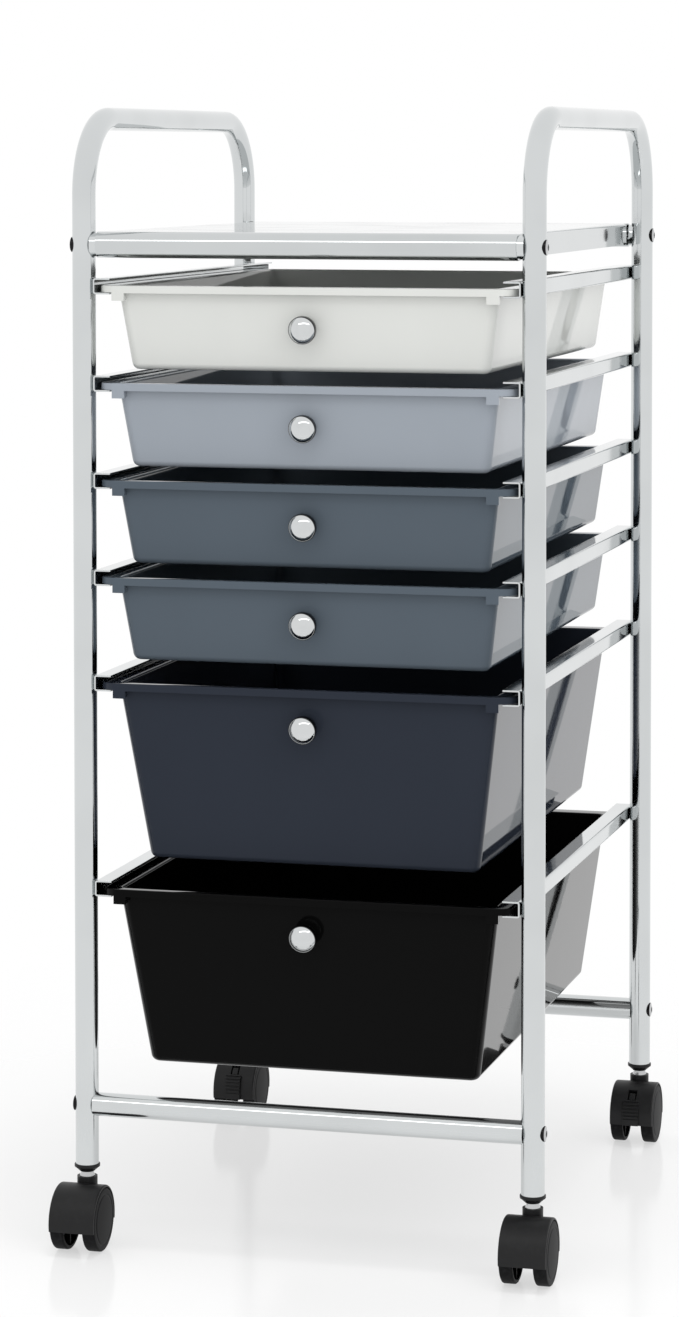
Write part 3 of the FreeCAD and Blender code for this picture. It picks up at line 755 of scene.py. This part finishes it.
def frame_screws(sizes):
    """Screws through the posts, the edges of their heads marked for painted shade where they meet
    the tubes.
    """
    face = middle("right_side_tube").x + sizes.radius
    nodes = ("tray_front_tube", "tray_rear_tube", "front_crossbar", "rear_crossbar")
    centres = [middle(node) for node in nodes]
    bm = bmesh.new()
    for centre in centres:
        for side in SIDES.values():
            place = Matrix.Translation((side * face, centre.y, centre.z)) @ facing_x(side)
            gather(bm, frame_screw(sizes), place)
    # The ring at each head's edge is marked to carry painted shade where the head meets the tube.
    edge = bm.verts.layers.float.new("edge")
    for vert in bm.verts:
        reach = min((vert.co - centre).yz.length for centre in centres)
        vert[edge] = 1.0 if reach > sizes.head_radius - MARK_BAND else 0.0
    show("frame_screw_set", bm, "frame_screws", "turned_steel", TURNED_CREASE)


def post_feet(sizes):
    """Places of the four posts at their lower ends."""
    low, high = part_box("right_side_tube")
    for y in (low.y + sizes.radius, high.y - sizes.radius):
        for side in SIDES.values():
            yield Matrix.Translation((side * middle("right_side_tube").x, y, low.z))


def stem_sockets(sizes):
    """Plastic plugs in the feet of the posts, with a rounded lip and a cone below."""
    plug = sizes.radius - sizes.wall - sizes.seat_gap
    lip = sizes.radius + sizes.lip
    base = -(sizes.lip_height + sizes.cone_height)
    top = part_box("stem_sockets")[1].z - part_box("right_side_tube")[0].z
    bore, foot = sizes.stem_radius + sizes.seat_gap, sizes.stem_radius + sizes.cone_foot
    points = [(bore, base), (foot, base), (lip - sizes.lip_step, -sizes.lip_height),
              (lip, -sizes.lip_height), (lip, 0.0), (plug, 0.0), (plug, top), (0.0, top)]
    rounds = {3: sizes.lip_low, 4: sizes.lip_high}
    bm = bmesh.new()
    for place in post_feet(sizes):
        gather(bm, lathe(points, rounds, sizes.stem_facets), place)
    close(bm)
    show("stem_socket_set", bm, "stem_sockets", "caster_black")


def caster_stems(sizes):
    """Steel stems, each with a collar that tapers upwards into its socket."""
    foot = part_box("right_side_tube")[0].z
    low, high = (corner.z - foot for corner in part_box("caster_stems"))
    base = -(sizes.lip_height + sizes.cone_height + sizes.collar_height)
    points = [(0.0, low), (sizes.stem_radius, low), (sizes.stem_radius, base),
              (sizes.collar_radius, base), (sizes.collar_radius, base + sizes.collar_edge),
              (sizes.stem_radius, base + sizes.collar_height), (sizes.stem_radius, high),
              (0.0, high)]
    rounds = {1: sizes.stem_edge, 6: sizes.stem_edge}
    bm = bmesh.new()
    for place in post_feet(sizes):
        gather(bm, lathe(points, rounds, sizes.stem_facets), place)
    show("caster_stem_set", bm, "caster_stems", "turned_steel")


def rail(hand, side, number, sizes):
    """Folded channel with broken edges and the drawer stop near its rear end."""
    node = f"{hand}_rail_{number}"
    low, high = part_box(node)
    web, tip = (high.x, low.x) if side > 0 else (low.x, high.x)
    bm = bmesh.new()
    corners = ((tip, high.z), (web, high.z), (web, low.z), (tip, low.z))
    chain = loop(bm, [(x, low.y, z) for x, z in corners])[1]
    run(bm, chain, (0, high.y - low.y, 0))
    folds = [edge for edge in bm.edges if len(edge.link_faces) == 2]
    bevel(bm, folds, sizes.rail_fold, ROUND_STEPS)
    sheet_metal(bm, lambda face: face.calc_center_median().z, sizes.rail)
    break_edges(bm, sizes.rail_edge, limit=60.0)
    stop = high.y - sizes.stop_inset
    ends = sorted((tip + side * sizes.rail / 2, web - side * sizes.rail / 2))
    inner = sizes.rail + sizes.stop_gap
    block(bm, (ends[0], stop, low.z + inner), (ends[1], stop + sizes.rail, high.z - inner),
          sizes.rail_edge)
    show(f"{hand}_channel_{number}", bm, node, "bright_chrome", SHEET_CREASE)


def tray(sizes):
    """One sheet: rolled front edge, deck with folded sides, rolled rear edge."""
    low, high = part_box("top_tray")
    front, rear = middle("tray_front_tube"), middle("tray_rear_tube")
    inset = span("tray_front_tube").z / 2 + sizes.relief
    depth = rear.y - front.y - 2 * inset
    bm = bmesh.new()
    edge = loop(bm, [(low.x, front.y, high.z), (high.x, front.y, high.z)])[1]
    turn(bm, edge, front, sizes.wrap, sizes.roll_steps)
    strip = run(bm, edge, (0, inset, 0))
    deck = run(bm, strip, (0, depth, 0))
    last = run(bm, deck, (0, inset, 0))
    turn(bm, last, rear, -sizes.wrap, sizes.roll_steps)
    sides = [item for item in bm.edges if item.is_boundary and item.calc_length() > depth / 2
             and abs(item.verts[0].co.x - item.verts[1].co.x) < WELD]
    run(bm, sides, (0, 0, -sizes.flange))
    bevel(bm, sides, sizes.tray_fold, sizes.fold_steps)
    bmesh.ops.remove_doubles(bm, verts=bm.verts[:], dist=WELD)
    reach = high.z - front.z + sizes.relief
    for end, y in ((-1, front.y), (1, rear.y)):
        for side in SIDES.values():
            bmesh.ops.bisect_plane(
                bm, geom=bm.verts[:] + bm.edges[:] + bm.faces[:], clear_outer=True,
                plane_co=(side * high.x, y - end * sizes.relief, 0),
                plane_no=(side * reach, end * sizes.end_cut, 0))
    sheet_metal(bm, bmesh.types.BMFace.calc_area, sizes.tray)
    show("tray_sheet", bm, "top_tray", "tray_chrome_painted_shade", SHEET_CREASE)


def plan_ring(bm, half, front, rear, radius, z, facets):
    """Adds a rounded rectangle and returns its edges."""
    before = set(bm.edges)
    corners = ((-half, front), (half, front), (half, rear), (-half, rear))
    verts = loop(bm, [(x, y, z) for x, y in corners], closed=True)[0]
    bevel(bm, verts, radius, facets, "VERTICES")
    return [edge for edge in bm.edges if edge not in before]


def drawer_rings(number, sizes):
    """Plans of the inside, the rim and its lip, from the floor outwards."""
    low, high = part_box(f"drawer_{number}")
    floor = high.z - low.z - sizes.wall
    drafts = (sizes.side_draft, sizes.front_draft, sizes.rear_draft)
    side_slope, front_slope, rear_slope = (math.tan(draft) for draft in drafts)

    def inside(down, inset):
        inset += sizes.wall
        return (high.x - sizes.side_inset - down * side_slope - inset,
                low.y + sizes.front_inset + down * front_slope + inset,
                high.y - sizes.rear_inset - down * rear_slope - inset,
                max(sizes.corner - inset, sizes.least_corner), high.z - down)

    fillet, mouth = sizes.bottom - sizes.wall, sizes.mouth
    rings = []
    for bend in quarter_turn(BOTTOM_STEPS):
        rings.append(inside(floor - fillet * (1 - math.cos(bend)), fillet * (1 - math.sin(bend))))
    for bend in quarter_turn(MOUTH_STEPS):
        rings.append(inside(mouth * (1 - math.sin(bend)), -mouth * (1 - math.cos(bend))))
    for bend in quarter_turn(RIM_STEPS):
        inset = sizes.rim_edge * (1 - math.sin(bend))
        rings.append((high.x - inset, low.y + inset, high.y - inset, sizes.rim_corner - inset,
                      high.z - sizes.rim_fall - sizes.rim_edge * (1 - math.cos(bend))))
    rings.append((high.x, low.y, high.y, sizes.rim_corner, high.z - sizes.rim_height))
    return rings


def drawer(number, sizes):
    """Drafted tub whose inside turns over into a rim, with a front band and corner lugs."""
    node = f"drawer_{number}"
    low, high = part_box(node)
    bm = bmesh.new()
    last = None
    for ring in drawer_rings(number, sizes):
        edges = plan_ring(bm, *ring, sizes.facets)
        if last:
            bmesh.ops.bridge_loops(bm, edges=last + edges)
        else:
            bmesh.ops.edgeloop_fill(bm, edges=edges)
        last = edges
    band_end = high.x - sizes.band_inset
    lug_end = band_end - sizes.lug_width
    front = low.y + sizes.rim_edge / 2

    def on_front(vert):
        return vert.co.y < front and vert.co.z < high.z - sizes.rim_edge

    for x in (-band_end, band_end, -lug_end, lug_end):
        faces = [face for face in bm.faces if all(map(on_front, face.verts))]
        parts = faces + unique(item for face in faces for item in (*face.edges, *face.verts))
        bmesh.ops.bisect_plane(bm, geom=parts, plane_co=(x, 0, 0), plane_no=ACROSS)

    def free_edges(drop, inner):
        """Lower edges of the front at a drop below the rim, from inner to the band's ends."""
        picked = []
        for edge in bm.edges:
            spot = (edge.verts[0].co + edge.verts[1].co) / 2
            level = abs(spot.z - (high.z - drop)) < WELD
            if edge.is_boundary and level and spot.y < front and inner < abs(spot.x) < band_end:
                picked.append(edge)
        return picked

    whole_width = -1.0
    run(bm, free_edges(sizes.rim_height, whole_width), (0, 0, sizes.rim_height - sizes.band_height))
    run(bm, free_edges(sizes.band_height, lug_end), (0, 0, sizes.band_height - sizes.lug_height))
    sheet_metal(bm, bmesh.types.BMFace.calc_area, sizes.wall)
    for side in SIDES.values():
        xs = sorted((side * (band_end - sizes.lug_inset), side * (lug_end + sizes.lug_inset)))
        block(bm, (xs[0], low.y + sizes.wall / 2, high.z - sizes.lug_height + sizes.lug_inset),
              (xs[1], low.y + sizes.lug_depth, high.z - sizes.wall), sizes.lug_edge)
    show(f"{node}_moulding", bm, node, f"drawer_plastic_{number}")


def knob(number, sizes, drawers):
    """Turned knob: foot, waisted neck and a domed head whose edge is marked for a painted dark
    reflection and shade.
    """
    low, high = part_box(f"drawer_{number}")
    drop = sizes.deep_drop if high.z - low.z > sizes.deep_from else sizes.shallow_drop
    back, rim = sizes.length - sizes.disc, sizes.length - sizes.crown
    waist = (back - sizes.foot_height) / 2
    points = [(0.0, 0.0), (sizes.foot, 0.0), (sizes.foot, sizes.foot_height)]
    for step in range(sizes.neck_steps + 1):
        bend = math.pi * (step / sizes.neck_steps - 0.5)
        points.append((sizes.neck + waist * (1 - math.cos(bend)),
                       sizes.foot_height + waist * (1 + math.sin(bend))))
    rounds = {}
    for height in (back, rim):
        rounds[len(points)] = sizes.edge * EDGE_ROUND
        points.append((sizes.radius, height))
    inner = sizes.radius - sizes.edge
    for step in range(sizes.dome_steps + 1):
        radius = inner * (1 - step / sizes.dome_steps)
        points.append((radius, rim + dome_height(radius, inner, sizes.crown)))
    bm = lathe(points, rounds, sizes.facets)
    # The outer ring of the head, beyond the dome, is marked to carry a painted dark reflection and
    # shade.
    edge = bm.verts.layers.float.new("edge")
    for vert in bm.verts:
        vert[edge] = 1.0 if vert.co.xy.length > inner + MARK_BAND else 0.0
    y = low.y + drawers.front_inset + drop * math.tan(drawers.front_draft)
    place = Matrix.Translation((0, y, high.z - drop))
    place = place @ Matrix.Rotation(math.pi / 2 + drawers.front_draft, 4, "X")
    bmesh.ops.transform(bm, matrix=place, verts=bm.verts[:])
    show(f"knob_{number}_dome", bm, f"knob_{number}", "polished_knob")


def wheel(end, hand, place, side, sizes):
    """Ribbed wheel, open inside and closed by a crowned disc outside; its tread is marked."""
    node = f"{end}_{hand}_{place}_wheel"
    low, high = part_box(node)
    centre = middle(node)
    radius = (high.z - low.z) / 2
    width = high.x - low.x - sizes.crown
    hollow = width - sizes.disc
    under_rim = radius - sizes.rim
    points = [(sizes.bore, hollow), (sizes.bore, 0.0), (sizes.hub, 0.0), (sizes.hub, hollow),
              (under_rim, hollow), (under_rim, 0.0), (radius, 0.0), (radius, width)]
    rounds = {6: sizes.edge, 7: sizes.edge}
    inner = radius - sizes.edge
    ring_gap = inner / sizes.disc_steps
    for step in range(1, sizes.disc_steps + 1):
        ring = inner * (1 - step / sizes.disc_steps)
        dip = sizes.groove_depth if abs(ring - sizes.groove) < ring_gap / 2 else 0.0
        points.append((ring, width + dome_height(ring, inner, sizes.crown) - dip))
    bm = lathe(points, rounds, sizes.facets)
    close(bm)
    for index in range(sizes.ribs):
        rib = bmesh.new()
        block(rib, (sizes.hub - sizes.rim / 2, -sizes.rib / 2, sizes.edge),
              (radius - sizes.rim / 2, sizes.rib / 2, hollow + sizes.rim / 2), 0.0)
        gather(bm, rib, Matrix.Rotation(2 * math.pi * index / sizes.ribs, 4, "Z"))
    tread = bm.verts.layers.float.new("tread")
    for vert in bm.verts:
        vert[tread] = 1.0 if vert.co.xy.length > radius - sizes.tread_band else 0.0
    inner_face = low.x if side > 0 else high.x
    spot = Matrix.Translation((inner_face, centre.y, centre.z)) @ facing_x(side)
    bmesh.ops.transform(bm, matrix=spot, verts=bm.verts[:])
    show(f"{node}_moulding", bm, node, "wheel_black", TURNED_CREASE)


def ahead(radius, lift, x=0.0):
    """Point at a radius from the X axis and an angle above the front."""
    return Vector((x, -radius * math.cos(lift), radius * math.sin(lift)))


def sector(inner, outer, low, high, width, steps):
    """Part of a ring about the X axis, between two angles above the front."""
    bm = bmesh.new()
    corners = ((-1, inner), (1, inner), (1, outer), (-1, outer))
    points = [ahead(radius, low, side * width / 2) for side, radius in corners]
    turn(bm, loop(bm, points, closed=True)[1], (0, 0, 0), low - high, steps)
    close(bm)
    return bm


def brake(hand, sizes):
    """Ribbed flap on a blade, with a thumb block above it and the pin that it swings on."""
    node = f"rear_{hand}_brake"
    base = sizes.hood + sizes.flap_gap
    root = base + sizes.flap_root
    steps = FLAP_ROWS + 2 * RIB_ROWS * sizes.flap_ribs
    bm = sector(base, root, sizes.flap_low, sizes.flap_high, sizes.flap_width, steps)
    skin = [face for face in bm.faces
            if all(vert.co.yz.length > root - WELD for vert in face.verts)]
    skin.sort(key=lambda face: face.calc_center_median().z)
    raised = [(skin[:FLAP_ROWS], base + sizes.flap_face)]
    for first in range(FLAP_ROWS + RIB_ROWS, steps, 2 * RIB_ROWS):
        raised.append((skin[first:first + RIB_ROWS], base + sizes.flap_top))
    for faces, radius in raised:
        made = bmesh.ops.extrude_face_region(bm, geom=faces)["geom"]
        verts = only(made, bmesh.types.BMVert)
        bmesh.ops.scale(bm, vec=(1, radius / root, radius / root), verts=verts)
        bmesh.ops.delete(bm, geom=faces, context="FACES")
    bmesh.ops.recalc_face_normals(bm, faces=bm.faces[:])
    thumb = sector(sizes.pivot, sizes.hood - sizes.thumb_inset, sizes.thumb_low, sizes.thumb_high,
                   sizes.thumb_width, THUMB_STEPS)
    for part in (bm, thumb):
        break_edges(part, sizes.flap_edge, limit=50.0)
    gather(bm, thumb, Matrix())
    blade, tip = bmesh.new(), base + sizes.flap_root / 2
    corners = ((sizes.pivot, sizes.pivot_lift), (tip, -sizes.flap_low / 2), (tip, sizes.flap_high))
    cheek = loop(blade, [ahead(*corner, -sizes.blade / 2) for corner in corners], closed=True)[1]
    run(blade, cheek, (sizes.blade, 0, 0))
    close(blade)
    gather(bm, blade, Matrix())
    place = Matrix.Translation(ahead(sizes.pivot, sizes.pivot_lift)) @ facing_x(1)
    for radius, width in ((sizes.boss, sizes.blade), (sizes.pin_radius, sizes.pin_length)):
        ends = [(0.0, -width / 2), (radius, -width / 2), (radius, width / 2), (0.0, width / 2)]
        gather(bm, lathe(ends, {}, sizes.pin_facets), place)
    bmesh.ops.translate(bm, verts=bm.verts[:], vec=middle(f"rear_{hand}_axle"))
    show(f"{node}_moulding", bm, node, "caster_black", MOULDED_CREASE)


# Stage


def set_floor(stage):
    """Pale round floor that fades into the backdrop."""
    margin = 1.2
    bm = bmesh.new()
    bmesh.ops.create_circle(bm, cap_ends=True, segments=96, radius=stage.fade_end * margin)
    mesh = bpy.data.meshes.new("floor")
    bm.to_mesh(mesh)
    bm.free()
    floor = bpy.data.objects.new("floor", mesh)
    bpy.context.scene.collection.objects.link(floor)
    finish = Finish(bpy.data.materials.new("pale_floor"))
    away = finish.add("ShaderNodeVectorMath", {"operation": "LENGTH"}, {0: finish.place()}, "Value")
    fade = finish.add(
        "ShaderNodeMapRange", {"interpolation_type": "SMOOTHSTEP"},
        {"Value": away, "From Min": stage.fade_start, "From Max": stage.fade_end})
    paint = finish.add("ShaderNodeBsdfPrincipled", {}, {
        "Base Color": tuple(bpy.context.scene.cart_colours.floor), "Roughness": 0.13, "IOR": 1.4})
    white = finish.add("ShaderNodeEmission", {}, {"Color": WHITE, "Strength": stage.dome})
    seen, *others = (finish.add("ShaderNodeLightPath", {}, {}, f"Is {ray} Ray")
                     for ray in ("Camera", "Glossy", "Transmission"))
    for ray in others:
        seen = seen + ray
    paint = finish.add("ShaderNodeMixShader", {}, {0: seen * stage.floor_lift, 1: paint, 2: white})
    clear = finish.add("ShaderNodeBsdfTransparent", {}, {})
    blend = finish.add("ShaderNodeMixShader", {}, {0: fade, 1: paint, 2: clear})
    finish.add("ShaderNodeOutputMaterial", {}, {"Surface": blend})
    mesh.materials.append(finish.owner)


def set_light(stage):
    """White all round, a strip above the front, a panel at the right and a lamp for the floor."""
    world = bpy.data.worlds.new("studio")
    bpy.context.scene.world = world
    finish = Finish(world)
    glow = finish.add("ShaderNodeBackground", {}, {"Color": WHITE, "Strength": stage.dome})
    finish.add("ShaderNodeOutputWorld", {}, {"Surface": glow})
    bank = add_lamp("light_bank", stage.bank, size=(3.6, 0.34), bearing=15.0, height=47.0)
    limit_lamp(bank, [f"{hand}_tube" for hand in SIDES], "EXCLUDE")
    fill = add_lamp("right_fill", stage.fill, size=(1.8, 1.8), bearing=60.0, height=24.0)
    fill.visible_glossy = False
    overhead = add_lamp("overhead", stage.overhead, size=(0.7, 0.7), bearing=40.0, height=83.0)
    limit_lamp(overhead, ["floor"], "INCLUDE")


def limit_lamp(lamp, names, state):
    """Keeps a lamp to some pieces, or keeps it off them."""
    pieces = bpy.data.collections.new(f"{lamp.name}_pieces")
    lamp.light_linking.receiver_collection = pieces
    for index, name in enumerate(names):
        pieces.objects.link(bpy.data.objects[name])
        pieces.collection_objects[index].light_linking.link_state = state


def add_lamp(name, power, size, bearing, height, distance=2.6):
    """Area light at a bearing from the front to the right, aimed at the middle of the cart."""
    lamp = bpy.data.lights.new(name, "AREA")
    lamp.shape = "RECTANGLE"
    lamp.size, lamp.size_y = size
    lamp.energy = power
    target = (CAD_LOW + CAD_HIGH) / 2
    away = Matrix.Rotation(math.radians(bearing), 3, "Z") @ ahead(1.0, math.radians(height))
    piece = bpy.data.objects.new(name, lamp)
    piece.location = target + away * distance
    piece.rotation_euler = (-away).to_track_quat("-Z", "Y").to_euler()
    piece.visible_camera = False
    bpy.context.scene.collection.objects.link(piece)
    return piece


def set_camera(stage):
    """Camera at the height and angle of the picture."""
    data = bpy.data.cameras.new("camera")
    data.lens = stage.lens
    data.sensor_width = 36.0
    data.shift_x, data.shift_y = stage.shift
    camera = bpy.data.objects.new("camera", data)
    camera.location = stage.place
    camera.rotation_euler = (math.pi / 2 - stage.pitch, 0, stage.yaw)
    bpy.context.scene.collection.objects.link(camera)
    bpy.context.scene.camera = camera


# Operators


class CART_OT_tubes(bpy.types.Operator):
    """Sweep the arched side tubes and the cross tubes"""

    bl_idname = "cart.tubes"
    bl_label = "Frame tubes"

    def execute(self, context):
        sizes = context.scene.cart_tubes
        for hand in SIDES:
            side_tube(hand, sizes)
        for end in ENDS:
            cross_tube(f"{end}_crossbar", f"{end}_bar", sizes)
            cross_tube(f"tray_{end}_tube", f"tray_{end}_bar", sizes)
        return {"FINISHED"}


class CART_OT_fittings(bpy.types.Operator):
    """Turn the frame screws, the stem sockets and the stems"""

    bl_idname = "cart.fittings"
    bl_label = "Screws, sockets and stems"

    def execute(self, context):
        sizes = context.scene.cart_tubes
        frame_screws(sizes)
        stem_sockets(sizes)
        caster_stems(sizes)
        for node in ("thread_inserts", *(f"knob_screw_{number}" for number in DRAWERS)):
            dress(node, "turned_steel")
        return {"FINISHED"}


class CART_OT_rails(bpy.types.Operator):
    """Fold the channel rails"""

    bl_idname = "cart.rails"
    bl_label = "Rails"

    def execute(self, context):
        for number in DRAWERS:
            for hand, side in SIDES.items():
                rail(hand, side, number, context.scene.cart_sheets)
        return {"FINISHED"}


class CART_OT_tray(bpy.types.Operator):
    """Fold and roll the sheet tray"""

    bl_idname = "cart.tray"
    bl_label = "Tray"

    def execute(self, context):
        tray(context.scene.cart_sheets)
        return {"FINISHED"}


class CART_OT_drawers(bpy.types.Operator):
    """Mould the drawers"""

    bl_idname = "cart.drawers"
    bl_label = "Drawers"

    def execute(self, context):
        for number in DRAWERS:
            drawer(number, context.scene.cart_drawers)
        return {"FINISHED"}


class CART_OT_knobs(bpy.types.Operator):
    """Turn the knobs"""

    bl_idname = "cart.knobs"
    bl_label = "Knobs"

    def execute(self, context):
        for number in DRAWERS:
            knob(number, context.scene.cart_knobs, context.scene.cart_drawers)
        return {"FINISHED"}


class CART_OT_wheels(bpy.types.Operator):
    """Mould the wheels of the casters"""

    bl_idname = "cart.wheels"
    bl_label = "Wheels"

    def execute(self, context):
        for end in ENDS:
            for hand, side in SIDES.items():
                wheel(end, hand, "outer", side, context.scene.cart_casters)
                wheel(end, hand, "inner", -side, context.scene.cart_casters)
        return {"FINISHED"}


class CART_OT_hoods(bpy.types.Operator):
    """Smooth the hoods, mould the brake flaps and finish the axles"""

    bl_idname = "cart.hoods"
    bl_label = "Hoods and brakes"

    def execute(self, context):
        for end in ENDS:
            for hand in SIDES:
                node = f"{end}_{hand}_hood"
                show(f"{node}_moulding", merged(node), node, "caster_black", MOULDED_CREASE)
                dress(f"{end}_{hand}_axle", "turned_steel")
        for hand in SIDES:
            brake(hand, context.scene.cart_casters)
        return {"FINISHED"}


class CART_OT_stage(bpy.types.Operator):
    """Set the floor, the light and the camera"""

    bl_idname = "cart.stage"
    bl_label = "Stage"

    def execute(self, context):
        stage = context.scene.cart_stage
        set_floor(stage)
        set_light(stage)
        set_camera(stage)
        context.scene.view_settings.view_transform = "Standard"
        return {"FINISHED"}


class CART_PT_panel(bpy.types.Panel):
    """Steps that dress the cart, in order"""

    bl_idname = "CART_PT_panel"
    bl_label = "Rolling drawer cart"
    bl_space_type = "VIEW_3D"
    bl_region_type = "UI"
    bl_category = "Cart"

    def draw(self, context):
        for step in STEPS:
            self.layout.operator(step.bl_idname)
        for name in SETTINGS:
            box = self.layout.box()
            group = getattr(context.scene, name)
            for key in group.__annotations__:
                box.prop(group, key)


SETTINGS = {
    "cart_tubes": TubeSizes,
    "cart_sheets": SheetSizes,
    "cart_drawers": DrawerSizes,
    "cart_knobs": KnobSizes,
    "cart_casters": CasterSizes,
    "cart_colours": CartColours,
    "cart_stage": CartStage,
}
STEPS = (
    CART_OT_tubes,
    CART_OT_fittings,
    CART_OT_rails,
    CART_OT_tray,
    CART_OT_drawers,
    CART_OT_knobs,
    CART_OT_wheels,
    CART_OT_hoods,
    CART_OT_stage,
)


def register():
    for item in (*SETTINGS.values(), *STEPS, CART_PT_panel):
        bpy.utils.register_class(item)
    for name, group in SETTINGS.items():
        setattr(bpy.types.Scene, name, bpy.props.PointerProperty(type=group))


def unregister():
    for name in SETTINGS:
        delattr(bpy.types.Scene, name)
    for item in reversed((*SETTINGS.values(), *STEPS, CART_PT_panel)):
        bpy.utils.unregister_class(item)


def main():
    register()
    for step in STEPS:
        group, name = step.bl_idname.split(".")
        getattr(getattr(bpy.ops, group), name)()


if __name__ == "__main__":
    main()
